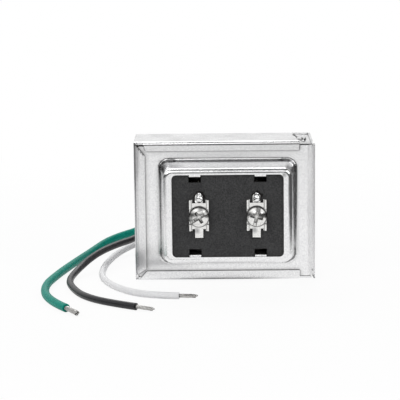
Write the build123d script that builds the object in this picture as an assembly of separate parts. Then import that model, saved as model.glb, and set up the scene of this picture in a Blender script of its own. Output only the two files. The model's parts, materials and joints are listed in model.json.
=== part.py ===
from build123d import *
from math import pi, radians, tan
import os

# A doorbell transformer: two folded steel shells around a laminated core,
# screw terminals on a fibre board at the front, and three free leads that
# leave a knock-out hub at the rear. Millimetres, +X to the right as seen
# from the front, +Y away from the viewer, +Z up. z = 0 is the surface that
# it stands on, x = 0 is the middle of the case, and y = 0 is midway between
# the screw heads and the mouth of the hub.

os.makedirs("parts", exist_ok=True)

# Sheet metal case
sheet = 0.7
case_width = 64.5
case_height = 50.0
case_depth = 22.4
lug_drop = 0.4
bend_inside = 0.4
flap_left = 3.95
flap_rows = 3.25
flap_end = 5.6
top_cut_front = 5.85
top_cut_rear = 7.45
plate_gap = 0.45
plate_gap_top = 0.9
plate_corner = 1.0
return_bend = 2.4
return_depth = 4.2
wall_gap = 0.25
slit_front = 0.3
slit_rear = 0.85
bridge_width = 1.0
bridge_length = 6.5
bridge_rise = 0.35
bridge_aside = 2.0
bridge_back = 10.5
lance_width = 0.3
nick_width = 0.45
nick_length = 1.3
nick_step = 2.2
nick_inset = 1.0

# Drawn domes
dome_margin_left = 9.25
dome_margin_right = 7.25
dome_margin_row = 6.8
dome_corner = 3.0
dome_draft = 8.0
front_rise = 10.8
rear_rise = 10.0
crown_radius = 1.6
foot_radius = 1.1
mouth_radius = 1.5
land_side = 2.83
land_row = 2.03
window_corner = 1.6

# Board and its tabs
board_thick = 1.2
board_lap_side = 1.15
board_lap_row = 0.4
board_corner = 2.0
tab_width = 4.0
tab_spacing = 23.0
tab_reach = 1.0
tab_bend = 0.6
tab_tail = 1.5
slot_height = 2.8
slot_clear = 0.2

# Terminals
terminal_spacing = 20.2
plate_width = 6.85
plate_up = 4.8
plate_down = 4.4
plate_thick = 0.8
ear_width = 1.05
ear_up = 1.15
ear_down = 0.65
rail_rise = 0.75
rail_clear = 0.5
tongue_width = 2.65
tongue_reach = 3.35
foot_width = 2.85
foot_length = 3.55
foot_tail = 1.1
joggle = 0.5
screw_head_radius = 3.6
screw_head_height = 2.2
screw_crown = 6.5
screw_rim = 0.4
screw_radius = 1.75
screw_length = 3.4
screw_gap = 0.25
screw_bore_clear = 0.08
slot_width = 1.3
slot_depth = 1.25
cross_width = 1.15
cross_length = 4.6
cross_depth = 1.7
screw_turns = {"left": 31.0, "right": 76.0}
lead_hole_up = 7.0
solder_width = 1.25
solder_rise = 0.95
solder_height = 1.05

# Core and coil
core_room_side = 2.5
core_room_top = 0.85
core_room_deep = 0.15
core_gap = 0.05
core_lift = 0.12
bobbin_clear = 0.15
bobbin_wall = 1.0
bobbin_end_clear = 0.19
flange_thick = 0.9
flange_lap = 1.0
flange_corner = 2.0
primary_build = 2.4
secondary_build = 1.9
tape = 0.3
layer_gap = 0.04
paper = 0.25
paper_margin = 0.7
paper_front_low = 2.2
paper_front_high = 4.2
paper_side = 1.0

# Hub and bushing
hub_radius = 10.65
hub_wall = 0.9
hub_length = 9.2
hub_shoulder_lap = 1.95
hub_shoulder_thick = 1.0
hub_stake_lap = 1.15
hub_stake_thick = 0.6
hub_fit = 0.06
bushing_fit = 0.06
bushing_length = 4.6
bushing_inset = 0.6
nut_ring = 3.65
nut_thick = 3.0
nut_fit = 0.1
nut_stand = 2.2
nut_lugs = 8
nut_notch = 2.4
nut_notch_depth = 1.5

# Leads
green_diameter = 2.9
black_diameter = 2.5
white_diameter = 2.4
hole_clear = 0.1
tail_bend = 3.0
splice_reach = 5.0
lug_reach = 4.2
green_exit = (5.0, 3.1)
black_exit = (-5.0, -0.4)
white_exit = (0.0, -4.9)
splice_radius = 1.5
splice_length = 7.0
magnet_wire = 0.5
secondary_wire = 1.2
lug_thick = 0.8
lug_ring = 3.2
lug_hole = 1.6
lug_barrel = 1.4
lug_barrel_length = 4.5
lug_gap = 0.05
rivet_head_thick = 0.9
cutout_width = 6.0
cutout_height = 4.0
cutout_thick = 2.6
cutout_aside = 11.0

# Levels and centres that follow from these
screw_reach = front_rise - 2 * sheet + joggle + plate_thick + screw_gap + screw_head_height
hub_reach = case_depth + rear_rise + hub_length
case_front = (screw_reach - hub_reach) / 2
case_rear = case_front + case_depth
dome_shift = (dome_margin_left - dome_margin_right) / 2
dome_width = case_width - dome_margin_left - dome_margin_right
dome_height = case_height - 2 * dome_margin_row
dome_lean = 2 * front_rise * tan(radians(dome_draft))
window_width = dome_width - dome_lean - 2 * land_side
window_height = dome_height - dome_lean - 2 * land_row
lamination_width = case_width - 2 * sheet - wall_gap - sheet - 2 * core_room_side
lamination_height = case_height - 2 * sheet - core_lift - core_room_top
leg_width = lamination_width / 6
bobbin_length = lamination_height - 2 * leg_width - 2 * bobbin_end_clear
stack = case_depth - 3 * sheet - 2 * core_room_deep
case_left = -case_width / 2
case_right = case_width / 2
case_bottom = lug_drop
case_top = case_bottom + case_height
mid_z = case_bottom + case_height / 2
plate_front = case_front + sheet
plate_back = plate_front + sheet
rear_inside = case_rear - sheet
wall_outside = case_right - sheet - wall_gap
wall_start = plate_front + return_bend - 0.4
flaps_right = case_right - flap_end
dome_top = plate_front - front_rise
board_front = dome_top + sheet
board_back = board_front + board_thick
rear_crown = case_rear + rear_rise
rear_ceiling = rear_crown - sheet
hub_mouth = rear_crown + hub_length
hub_shoulder = hub_radius + hub_shoulder_lap
hub_stake = hub_radius + hub_stake_lap
nut_radius = hub_radius + nut_fit + nut_ring
exit_y = hub_mouth - bushing_inset
core_front = plate_back + (rear_inside - plate_back - stack) / 2
core_bottom = case_bottom + sheet + core_lift
core_mid_z = core_bottom + lamination_height / 2
core_mid_y = core_front + stack / 2


def box(x0, x1, y0, y1, z0, z1):
    """A block between two opposite corners."""
    size = (x1 - x0, y1 - y0, z1 - z0)
    middle = ((x0 + x1) / 2, (y0 + y1) / 2, (z0 + z1) / 2)
    return Pos(*middle) * Box(*size)


def facing_front(x, y, z):
    """A plane whose normal points to the viewer, with its own y axis up."""
    return Plane(origin=(x, y, z), x_dir=(1, 0, 0), z_dir=(0, -1, 0))


def facing_rear(x, y, z):
    """A plane whose normal points away from the viewer, with its own y axis up."""
    return Plane(origin=(x, y, z), x_dir=(-1, 0, 0), z_dir=(0, 1, 0))


def rod(start, end, radius):
    """A straight round bar between two points."""
    path = Edge.make_line(start, end)
    section = Plane(origin=start, z_dir=path % 0) * Circle(radius)
    return sweep(section, path=path)


def wire_tube(points, radii, diameter):
    """A round wire along straight runs joined by tangent arcs."""
    path = FilletPolyline(*points, radius=radii)
    section = Plane(origin=path @ 0, z_dir=path % 0) * Circle(diameter / 2)
    return sweep(section, path=path)


def bent_strip(points, radius, width, thickness):
    """Sheet metal of one width along a bent line in a plane of constant x."""
    path = FilletPolyline(*points, radius=radius)
    section = Plane(origin=path @ 0, x_dir=(1, 0, 0), z_dir=path % 0) * Rectangle(width, thickness)
    return sweep(section, path=path)


def dome_body(plane, rise, inset):
    """The drawn dome as a closed body, or its hollow when it is set in by the sheet."""
    slope = rise * tan(radians(dome_draft))
    low = RectangleRounded(dome_width - 2 * inset, dome_height - 2 * inset, dome_corner - inset)
    high = RectangleRounded(
        dome_width - 2 * inset - 2 * slope, dome_height - 2 * inset - 2 * slope, dome_corner - inset
    )
    body = loft([plane * low, plane.offset(rise) * high])
    top_edges = body.faces().sort_by(Axis((0, 0, 0), tuple(plane.z_dir)))[-1].edges()
    return fillet(top_edges, crown_radius - inset)


def dome_outline(shape, y, inset):
    """Edges of a sheet that follow a dome's outline at one level."""
    half_width = dome_width / 2 - inset + 0.01
    half_height = dome_height / 2 - inset + 0.01
    chosen = []
    for edge in shape.edges():
        low, high = edge.bounding_box().min, edge.bounding_box().max
        level = abs(low.Y - y) < 0.001 and abs(high.Y - y) < 0.001
        across = max(abs(low.X - dome_shift), abs(high.X - dome_shift)) < half_width
        upright = max(abs(low.Z - mid_z), abs(high.Z - mid_z)) < half_height
        if level and across and upright:
            chosen.append(edge)
    return chosen


def drawn_sheet(blank, plane_at, front, back, rise):
    """Raise a hollow dome on a flat sheet: the outer form is added and the hollow is cut."""
    outward = 1 if plane_at is facing_rear else -1
    surface, underside = (back, front) if outward > 0 else (front, back)
    solid = blank + dome_body(plane_at(dome_shift, surface, mid_z), rise, 0)
    solid = fillet(dome_outline(solid, surface, 0), foot_radius)
    solid -= dome_body(plane_at(dome_shift, underside, mid_z), rise, sheet)
    return fillet(dome_outline(solid, underside, sheet), mouth_radius)


def rear_shell():
    """The pan: rear wall with its dome, four walls, and three walls folded over as flaps."""
    skin = box(case_left, wall_outside, case_front, case_rear, case_bottom, case_top)
    core = box(
        case_left + sheet,
        wall_outside - sheet,
        plate_front,
        rear_inside,
        case_bottom + sheet,
        case_top - sheet,
    )
    pan = fillet(fold_edges(skin, 0), bend_inside + sheet) - fillet(fold_edges(core, sheet), bend_inside)
    low = case_bottom + flap_rows
    high = case_top - flap_rows
    far = case_right + 1
    pan -= box(case_left + flap_left, far, case_front - 1, plate_front + 0.01, low, high)
    pan -= box(flaps_right, far, case_front - 1, plate_back, case_bottom - 1, case_top + 1)
    pan -= box(wall_outside - 2 * sheet, far, case_front - 1, wall_start, case_bottom - 1, case_top + 1)
    pan -= corner_cut(case_top - sheet, case_top + 1)
    pan -= corner_cut(case_bottom - 1, case_bottom + sheet)
    for mitre in mitres():
        pan -= mitre
    pan += top_tab() + corner_blank(case_bottom)
    pan = drawn_sheet(pan, facing_rear, rear_inside, case_rear, rear_rise)
    return pan - (hub_hole() + rivet_hole())


def fold_edges(block, inset):
    """The long folds of a pan, at its front and its rear: left, bottom and top."""
    folds = []
    for edge in block.edges():
        middle = edge.center()
        left = abs(middle.X - case_left - inset) < 0.001
        bottom = abs(middle.Z - case_bottom - inset) < 0.001
        top = abs(middle.Z - case_top + inset) < 0.001
        runs_back = abs(middle.Y - (case_front + case_rear) / 2) < 1
        if not runs_back and left + bottom + top == 1:
            folds.append(edge)
    return folds


def corner_cut(z0, z1):
    """The slanting right end of the top or bottom wall."""
    outline = Polyline(
        (case_right - top_cut_front, case_front - 1),
        (case_right + 1, case_front - 1),
        (case_right + 1, wall_start),
        (wall_outside - sheet, wall_start),
        (wall_outside - sheet, rear_inside),
        (case_right - top_cut_rear, rear_inside),
        close=True,
    )
    return extrude(Plane.XY.offset(z0) * make_face(outline), z1 - z0)


def corner_blank(z0):
    """A tab of the right wall that fills a corner, beside the slanting end of the top or bottom wall."""
    x1 = wall_outside - sheet
    outline = Polyline(
        (case_right - top_cut_front + slit_front, plate_back + 0.6),
        (x1, plate_back + 0.6),
        (x1, rear_inside),
        (case_right - top_cut_rear + slit_rear, rear_inside),
        close=True,
    )
    return extrude(Plane.XY.offset(z0) * make_face(outline), sheet)


def top_tab():
    """The upper corner tab, one sheet below the top wall, with its lanced bridge."""
    z1 = case_top - sheet
    tab = corner_blank(z1 - sheet)
    centre = Plane.XY.offset(z1) * Pos(wall_outside - sheet - bridge_aside, case_front + bridge_back)
    bridge = extrude(centre * Rot(0, 0, 90) * SlotOverall(bridge_length, bridge_width), bridge_rise)
    tab += fillet(bridge.faces().sort_by(Axis.Z)[-1].edges(), bridge_rise * 0.6)
    for side in (-1, 1):
        beside = Pos(side * (bridge_width + lance_width) / 2, 0)
        lance = beside * Rectangle(lance_width, bridge_length - bridge_width)
        tab -= extrude(centre * lance, -sheet)
    return tab


def mitres():
    """Wedges cut from the flaps where they would meet at the left corners."""
    top, low, left = case_top, case_bottom, case_left
    above = Polyline(
        (left - 1, top - 0.6),
        (left + 0.8, top - 1.0),
        (left + flap_left + 0.2, top - 5.2),
        (left + flap_left + 0.4, top - flap_rows),
        (left + 3.4, top - sheet),
        (left + 3.2, top + 1),
        (left + 1.1, top + 1),
        (left + 1.1, top - sheet),
        (left - 1, top - sheet + 0.35),
        close=True,
    )
    below = Polyline(
        (left - 1, low + 1.5),
        (left + 0.8, low + 2.1),
        (left + flap_left + 0.2, low + 4.3),
        (left + flap_left + 0.25, low + flap_rows),
        (left + 1.9, low + sheet),
        (left + 1.6, low - 1),
        (left + 1.1, low - 1),
        (left + 1.1, low + sheet),
        (left - 1, low + sheet - 0.35),
        close=True,
    )
    plane = facing_front(0, plate_front, 0)
    return [extrude(plane * make_face(outline), sheet + 1) for outline in (above, below)]


def hub_hole():
    """The hole in the rear dome that the hub passes through."""
    plane = facing_rear(dome_shift, rear_ceiling - 1, mid_z)
    return extrude(plane * Circle(hub_radius + hub_fit), sheet + 2)


def front_shell():
    """The face plate: drawn dome, window with its tabs, and the right edge bent back."""
    low = case_bottom + sheet + plate_gap
    high = case_top - sheet - plate_gap_top
    middle = plate_front + sheet / 2
    turn_x = case_right - sheet / 2
    path = FilletPolyline(
        (case_left + sheet + plate_gap, middle),
        (turn_x, middle),
        (turn_x, plate_front + return_depth),
        radius=return_bend - sheet / 2,
    )
    section = Plane(origin=path @ 0, x_dir=(0, 1, 0), z_dir=(1, 0, 0)) * Rectangle(sheet, high - low)
    plate = Pos(0, 0, (low + high) / 2) * sweep(section, path=path)
    plate = fillet(plate.edges().filter_by(Axis.Y).group_by(Axis.X)[0], plate_corner)
    plate = drawn_sheet(plate, facing_front, plate_front, plate_back, front_rise)
    opening = RectangleRounded(window_width, window_height, window_corner)
    plate -= extrude(facing_front(dome_shift, board_front + 1, mid_z) * opening, sheet + 2)
    for side in (-1, 1):
        for row in (-1, 1):
            plate += board_tab(side, row)
    return plate + lower_lug(low) - bend_nicks(low)


def board_tab(side, row):
    """A window-edge tab: bent back through the board's slot and turned out behind it."""
    x = dome_shift + side * tab_spacing / 2
    edge = mid_z + row * window_height / 2
    half = sheet / 2
    inner = edge - row * (tab_reach - half)
    behind = board_back + half
    points = [
        (x, dome_top + half, edge + row * 0.3),
        (x, dome_top + half, inner),
        (x, behind, inner),
        (x, behind, inner + row * (half + tab_tail)),
    ]
    return bent_strip(points, tab_bend, tab_width, sheet)


def lower_lug(plate_low):
    """The return flange runs on below the plate and hooks outwards."""
    x1 = case_right
    outline = Polyline(
        (x1, plate_low),
        (x1 - 0.2, plate_low - 0.75),
        (x1, 0.25),
        (x1, 0),
        (x1 - 0.45, 0),
        (x1 - sheet - 0.2, plate_low - 0.7),
        (x1 - sheet, plate_low),
        close=True,
    )
    plane = facing_front(0, plate_front + return_depth, 0)
    return extrude(plane * make_face(outline), return_depth - return_bend)


def bend_nicks(plate_low):
    """Two short nicks through the right bend: one open at the plate's lower edge, one above it."""
    plane = facing_front(case_right - nick_inset, plate_front + return_bend - 0.1, plate_low + 0.2)
    shape = Rot(0, 0, 90) * SlotOverall(nick_length, nick_width)
    return extrude(plane * (shape + Pos(0, nick_step) * shape), return_bend + 1)


def terminal_board():
    """Fibre board with slots for the window tabs and holes for the terminals."""
    width = window_width + 2 * board_lap_side
    height = window_height + 2 * board_lap_row
    plane = facing_front(dome_shift, board_back, mid_z)
    board = extrude(plane * RectangleRounded(width, height, board_corner), board_thick)
    outer_edge = window_height / 2
    for side in (-1, 1):
        for row in (-1, 1):
            slot = Rectangle(tab_width + 2 * slot_clear, slot_height)
            centre = Pos(side * tab_spacing / 2, row * (outer_edge - slot_height / 2))
            board -= extrude(plane * centre * slot, board_thick)
    for side in (-1, 1):
        x = side * terminal_spacing / 2
        board -= extrude(plane * Pos(x, 0) * Circle(screw_radius + 0.5), board_thick)
        wire_hole = Pos(x, lead_hole_up) * Circle(secondary_wire / 2 + hole_clear)
        board -= extrude(plane * wire_hole, board_thick)
        foot_slot = Rectangle(foot_width + 2 * slot_clear, plate_thick + 2 * slot_clear)
        board -= extrude(plane * Pos(x, foot_drop()) * foot_slot, board_thick)
    return board


def foot_drop():
    """Height of the clamp plate's foot, where it goes through the board, from its screw."""
    return -(plate_down + foot_length - plate_thick / 2)


def terminal_plate(side):
    """Clamp plate with upturned corners, a solder tongue above and a clinched foot below."""
    x = dome_shift + side * terminal_spacing / 2
    back = board_front - joggle
    front = back - plate_thick
    half = plate_thick / 2
    plane = facing_front(x, back, mid_z)
    outline = Pos(0, (plate_up - plate_down) / 2) * Rectangle(plate_width, plate_up + plate_down)
    for across in (-1, 1):
        ear_x = across * (plate_width - ear_width) / 2
        outline += Pos(ear_x, plate_up + ear_up / 2) * Rectangle(ear_width, ear_up)
        outline += Pos(ear_x, -plate_down - ear_down / 2) * Rectangle(ear_width, ear_down)
    plate = extrude(plane * outline, plate_thick)
    rail_width = plate_width / 2 - screw_head_radius * 0.78
    rail_start = screw_head_radius * 0.63 + rail_clear
    rails = Sketch()
    for across in (-1, 1):
        rail_x = across * (plate_width - rail_width) / 2
        for ends in ((rail_start, plate_up + ear_up), (-plate_down - ear_down, -rail_start)):
            rails += Pos(rail_x, sum(ends) / 2) * Rectangle(rail_width, ends[1] - ends[0])
    plate += extrude(facing_front(x, front, mid_z) * rails, rail_rise)
    tongue_top = mid_z + plate_up + tongue_reach
    tongue = bent_strip(
        [
            (x, back - half, mid_z + plate_up - 0.3),
            (x, back - half, mid_z + plate_up + 0.15),
            (x, board_front - half, mid_z + plate_up + 0.15 + joggle * 1.6),
            (x, board_front - half, tongue_top),
        ],
        plate_thick * 0.52,
        tongue_width,
        plate_thick,
    )
    tongue = fillet(tongue.edges().filter_by(Axis.Y).group_by(Axis.Z)[-1], tongue_width / 2 - 0.05)
    foot_z = mid_z + foot_drop()
    behind = board_back + half
    foot = bent_strip(
        [
            (x, back - half, mid_z - plate_down + 0.3),
            (x, back - half, mid_z - plate_down - 0.15),
            (x, board_front - half, mid_z - plate_down - 0.15 - joggle * 1.6),
            (x, board_front - half, foot_z),
            (x, behind, foot_z),
            (x, behind, foot_z + half + foot_tail),
        ],
        plate_thick * 0.52,
        foot_width,
        plate_thick,
    )
    plate = plate + tongue + foot
    plate -= extrude(facing_front(x, board_back, mid_z) * Circle(screw_radius + screw_bore_clear), 6)
    wire_hole = Pos(0, lead_hole_up) * Circle(secondary_wire / 2 + 0.02)
    plate -= extrude(facing_front(x, board_front + 1, mid_z) * wire_hole, 4)
    return plate


def terminal_screw(side, turn):
    """Domed pan head screw with a full slot and a cross recess."""
    x = dome_shift + side * terminal_spacing / 2
    seat = board_front - joggle - plate_thick - screw_gap
    top = seat - screw_head_height
    plane = facing_front(x, seat, mid_z)
    crown = Pos(x, top + screw_crown, mid_z) * Sphere(screw_crown)
    head = extrude(plane * Circle(screw_head_radius), screw_head_height) & crown
    head = fillet(head.edges().filter_by(GeomType.CIRCLE).sort_by(Axis.Y)[0], screw_rim)
    shank = extrude(plane * Circle(screw_radius), -(screw_length + screw_gap))
    shank = chamfer(shank.faces().sort_by(Axis.Y)[-1].edges(), 0.4)
    screw = head + shank
    face = facing_front(x, top, mid_z) * Rot(0, 0, turn)
    screw -= extrude(face * Rectangle(2 * screw_head_radius + 1, slot_width), -slot_depth)
    cross = Rectangle(cross_width, cross_length) + Rectangle(cross_length, cross_width)
    return screw - extrude(face * cross, -cross_depth, taper=8)


def solder_joint(side):
    """Dome of solder on the tongue, around the end of the secondary lead."""
    x = dome_shift + side * terminal_spacing / 2
    tongue_front = board_front - plate_thick
    z = mid_z + lead_hole_up
    ball = Pos(x, tongue_front, z) * scale(Sphere(1.0), by=(solder_width, solder_rise, solder_height))
    ball -= box(x - 3, x + 3, tongue_front, tongue_front + 3, z - 3, z + 3)
    core = extrude(facing_front(x, tongue_front, z) * Circle(secondary_wire / 2), 0.3)
    return ball - core


def secondary_lead(side):
    """Insulated wire from the coil's front, up behind the board and through to the tongue."""
    x = dome_shift + side * terminal_spacing / 2
    z = mid_z + lead_hole_up
    start_z = mid_z + bobbin_length / 2 - flange_thick - secondary_wire
    mid_y = board_back + secondary_wire / 2 + 0.9
    points = [
        (x, coil_front() - layer_gap, start_z),
        (x, mid_y, start_z),
        (x, mid_y, z),
        (x, board_front - plate_thick - 0.3, z),
    ]
    return wire_tube(points, 0.75, secondary_wire)


def ring_sizes(level):
    """Outer width (x) and depth (y) of the coil, counted in layers from the bobbin tube."""
    width = 2 * leg_width + 2 * bobbin_clear + 2 * bobbin_wall
    depth = stack + 2 * bobbin_clear + 2 * bobbin_wall
    layers = [0, primary_build, tape, secondary_build, tape]
    grown = 2 * sum(layers[: level + 1])
    return width + grown, depth + grown


def coil_front():
    """The level of the coil's front face."""
    return core_mid_y - ring_sizes(4)[1] / 2


def coil_rear():
    """The level of the coil's rear face."""
    return core_mid_y + ring_sizes(4)[1] / 2


def winding_ring(level, length):
    """One hollow layer of the coil, between two levels, along the centre leg."""
    inner_width, inner_depth = ring_sizes(level - 1)
    outer_width, outer_depth = ring_sizes(level)
    radius_in = 0.6 + (inner_width - ring_sizes(0)[0]) / 2
    radius_out = 0.6 + (outer_width - ring_sizes(0)[0]) / 2
    section = RectangleRounded(outer_width, outer_depth, radius_out)
    section -= RectangleRounded(inner_width + 2 * layer_gap, inner_depth + 2 * layer_gap, radius_in)
    return Pos(dome_shift, core_mid_y, core_mid_z) * extrude(section, length / 2, both=True)


def bobbin():
    """Moulded former: a square tube with a flange at each end."""
    tube_width, tube_depth = ring_sizes(0)
    flange_width = ring_sizes(4)[0] + 2 * flange_lap
    flange_depth = ring_sizes(4)[1] + 2 * flange_lap
    body = extrude(RectangleRounded(tube_width, tube_depth, 0.6), bobbin_length / 2, both=True)
    for end in (-1, 1):
        level = end * (bobbin_length - flange_thick) / 2
        flange = RectangleRounded(flange_width, flange_depth, flange_corner)
        body += Pos(0, 0, level) * extrude(flange, flange_thick / 2, both=True)
    opening = Rectangle(2 * leg_width + 2 * bobbin_clear, stack + 2 * bobbin_clear)
    body -= extrude(opening, bobbin_length, both=True)
    return Pos(dome_shift, core_mid_y, core_mid_z) * body


def core_e_stack():
    """Stack of E laminations: yoke below, two outer legs and a centre leg."""
    height = lamination_height - leg_width - core_gap
    outline = Rectangle(lamination_width, height, align=(Align.CENTER, Align.MIN))
    for side in (-1, 1):
        window = Rectangle(leg_width, lamination_height, align=(Align.CENTER, Align.MIN))
        outline -= Pos(side * leg_width * 1.5, leg_width) * window
    return extrude(facing_front(dome_shift, core_front + stack, core_bottom) * outline, stack)


def core_i_stack():
    """Stack of I laminations across the open ends of the legs."""
    outline = Pos(0, lamination_height - leg_width) * Rectangle(
        lamination_width, leg_width, align=(Align.CENTER, Align.MIN)
    )
    return extrude(facing_front(dome_shift, core_front + stack, core_bottom) * outline, stack)


def front_insulator():
    """Paper sheet on the coil's front face."""
    y1 = coil_front() - layer_gap
    half = ring_sizes(4)[0] / 2 - paper_side
    between = bobbin_length / 2 - flange_thick
    low = core_mid_z - between + paper_front_low
    high = core_mid_z + between - paper_front_high
    return box(dome_shift - half, dome_shift + half, y1 - paper, y1, low, high)


def rear_insulator():
    """Paper sheet on the coil's rear face."""
    y0 = coil_rear() + layer_gap
    half = ring_sizes(4)[0] / 2 - paper_side
    long = bobbin_length / 2 - flange_thick - paper_margin
    return box(dome_shift - half, dome_shift + half, y0, y0 + paper, core_mid_z - long, core_mid_z + long)


def knockout_hub():
    """Turned-over steel ferrule: staked lip inside the dome, shoulder outside, plain tube to its mouth."""
    profile = Polyline(
        (hub_radius - hub_wall, rear_ceiling - hub_stake_thick),
        (hub_stake, rear_ceiling - hub_stake_thick),
        (hub_stake, rear_ceiling),
        (hub_radius, rear_ceiling),
        (hub_radius, rear_crown),
        (hub_shoulder, rear_crown),
        (hub_shoulder, rear_crown + hub_shoulder_thick),
        (hub_radius, rear_crown + hub_shoulder_thick),
        (hub_radius, hub_mouth - 0.5),
        (hub_radius - 0.5, hub_mouth),
        (hub_radius - hub_wall, hub_mouth),
        close=True,
    )
    face = Plane(origin=(dome_shift, 0, mid_z), x_dir=(1, 0, 0), z_dir=(0, 0, 1)) * make_face(profile)
    return revolve(face, Axis((dome_shift, 0, mid_z), (0, 1, 0)))


def hub_locknut():
    """Stamped ring nut with notches around its rim."""
    y0 = rear_crown + hub_shoulder_thick + nut_stand
    plane = facing_rear(dome_shift, y0, mid_z)
    ring = Circle(nut_radius) - Circle(hub_radius + nut_fit)
    for turn in range(nut_lugs):
        notch = Rectangle(2 * nut_notch_depth, nut_notch)
        ring -= Rot(0, 0, turn * 360 / nut_lugs) * Pos(nut_radius, 0) * notch
    nut = extrude(plane * ring, nut_thick)
    rims = nut.edges().filter_by(GeomType.CIRCLE).filter_by(lambda e: e.radius > nut_radius - 0.1)
    return chamfer(rims, 0.4)


def lead_bushing(leads):
    """Moulded disc in the hub with a hole for each lead."""
    plane = facing_rear(dome_shift, exit_y - bushing_length, mid_z)
    disc = extrude(plane * Circle(hub_radius - hub_wall - bushing_fit), bushing_length)
    disc = chamfer(disc.faces().sort_by(Axis.Y)[-1].edges(), 0.4)
    for route, diameter in leads:
        x, _, z = route[0]
        disc -= rod((x, exit_y - bushing_length - 1, z), (x, exit_y + 1, z), diameter / 2 + hole_clear)
    return disc


# Routes of the free leads from the bushing to the cut end of the insulation,
# chosen by hand from where they lie. Each starts straight out of the hub,
# comes down to the surface and runs forward along it.
green_route = [
    (dome_shift + green_exit[0], exit_y, mid_z + green_exit[1]),
    (dome_shift + green_exit[0], 37.5, mid_z + green_exit[1]),
    (-1.0, 50.0, 24.2),
    (-15.5, 54.0, 15.0),
    (-31.0, 49.0, 7.3),
    (-44.5, 42.0, 4.6),
    (-51.5, 30.0, 1.7),
    (-56.0, 13.0, 1.5),
    (-60.5, -7.0, 1.5),
    (-64.0, -28.5, 1.5),
    (-60.5, -49.5, 1.5),
    (-53.3, -61.0, 1.5),
]
black_route = [
    (dome_shift + black_exit[0], exit_y, mid_z + black_exit[1]),
    (dome_shift + black_exit[0], 36.5, mid_z + black_exit[1]),
    (-8.5, 46.5, 21.9),
    (-18.5, 47.5, 16.2),
    (-27.5, 37.5, 10.4),
    (-34.0, 25.5, 7.8),
    (-41.0, 14.5, 7.7),
    (-48.0, 5.0, 6.1),
    (-54.0, -4.5, 2.2),
    (-56.0, -18.0, 1.3),
    (-53.5, -30.5, 1.3),
    (-49.0, -42.5, 1.3),
    (-40.5, -52.3, 1.3),
    (-30.0, -59.0, 1.3),
]
white_route = [
    (dome_shift + white_exit[0], exit_y, mid_z + white_exit[1]),
    (dome_shift + white_exit[0], 36.5, mid_z + white_exit[1]),
    (-5.5, 46.0, 16.2),
    (-17.5, 47.5, 10.0),
    (-30.0, 41.5, 4.8),
    (-39.5, 32.0, 2.1),
    (-43.5, 18.5, 1.25),
    (-45.0, 2.0, 1.25),
    (-44.4, -14.5, 1.25),
    (-37.8, -31.0, 1.25),
    (-27.0, -42.0, 1.25),
    (-16.0, -43.0, 1.25),
]
strand_tips = {
    "green": (-48.6, -67.6, 1.0),
    "black": (-23.9, -60.8, 0.8),
    "white": (-9.8, -41.8, 0.8),
}
strand_diameters = {"green": 1.5, "black": 1.1, "white": 1.1}


def bend_radii(route):
    """Radii of a route's arcs: 0.45 of the shorter run over the tangent of half the turn."""
    radii = []
    for before, here, after in zip(route, route[1:], route[2:]):
        run_in = Vector(*here) - Vector(*before)
        run_out = Vector(*after) - Vector(*here)
        half_turn = radians(run_in.get_angle(run_out)) / 2
        radii.append(0.45 * min(run_in.length, run_out.length) / tan(half_turn))
    return radii


def free_lead(name, route, diameter):
    """A lead's tube, with its bends and its length printed."""
    radii = bend_radii(route)
    tube = wire_tube(route, radii, diameter)
    path = FilletPolyline(*route, radius=radii)
    share = tube.volume / (path.length * pi * diameter**2 / 4)
    print(name, "length", round(path.length, 1), "volume share", round(share, 4))
    print(name, "radii", [round(radius, 1) for radius in radii])
    return tube


def stripped_end(route, tip, diameter):
    """Bare twisted strands that go on from the cut insulation."""
    end = Vector(*route[-1])
    along = (end - Vector(*route[-2])).normalized()
    middle = end + along * 2.2
    points = [tuple(end), tuple(middle), tip]
    turn = (Vector(*tip) - middle).get_angle(along)
    radius = diameter * 1.2 if turn < 60 else diameter * 0.6
    return wire_tube(points, radius, diameter)


def black_tail():
    """The black lead's inner end, from the bushing to its splice."""
    x, y, z = black_route[0]
    points = [(x, y, z), (x, splice_y(), z), (x - splice_reach, splice_y(), z)]
    return wire_tube(points, tail_bend, black_diameter)


def white_tail():
    """The white lead's inner end, from the bushing to its splice."""
    x, y, z = white_route[0]
    points = [(x, y, z), (x, splice_y(), z), (x + splice_reach, splice_y(), z)]
    return wire_tube(points, tail_bend, white_diameter)


def green_tail():
    """The green lead's inner end, from the bushing to the ground lug's barrel."""
    x, y, z = green_route[0]
    level = lug_level()
    return wire_tube([(x, y, z), (x, level, z), (lug_start(), level, z)], tail_bend, green_diameter)


def splice_y():
    """The level of the splices, resting on the rear paper."""
    return coil_rear() + 2 * layer_gap + paper + splice_radius


def lug_level():
    """The level of the ground lug's barrel, just clear of the hub's staked lip."""
    return rear_ceiling - hub_stake_thick - lug_gap - green_diameter / 2


def lug_start():
    """Where the ground lug's barrel begins."""
    return green_route[0][0] + lug_reach


def closed_splice(start, step):
    """A crimp sleeve with rounded ends, along x."""
    x, y, z = start
    sleeve = rod((x, y, z), (x + step * splice_length, y, z), splice_radius)
    return fillet(sleeve.faces().sort_by(Axis.X)[-1 if step > 0 else 0].edges(), 0.6)


def winding_wire(splice_start, step):
    """Magnet wire from the end of a splice, round to the side of the coil."""
    x, y, z = splice_start
    coil_side = ring_sizes(4)[0] / 2
    turn_x = dome_shift + step * (coil_side + 2.6)
    end_x = dome_shift + step * (coil_side + layer_gap)
    points = [
        (x + step * splice_length, y, z),
        (turn_x, y, z),
        (turn_x, y - 4.4, z),
        (end_x, y - 4.4, z),
    ]
    return wire_tube(points, magnet_wire, magnet_wire)


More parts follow.
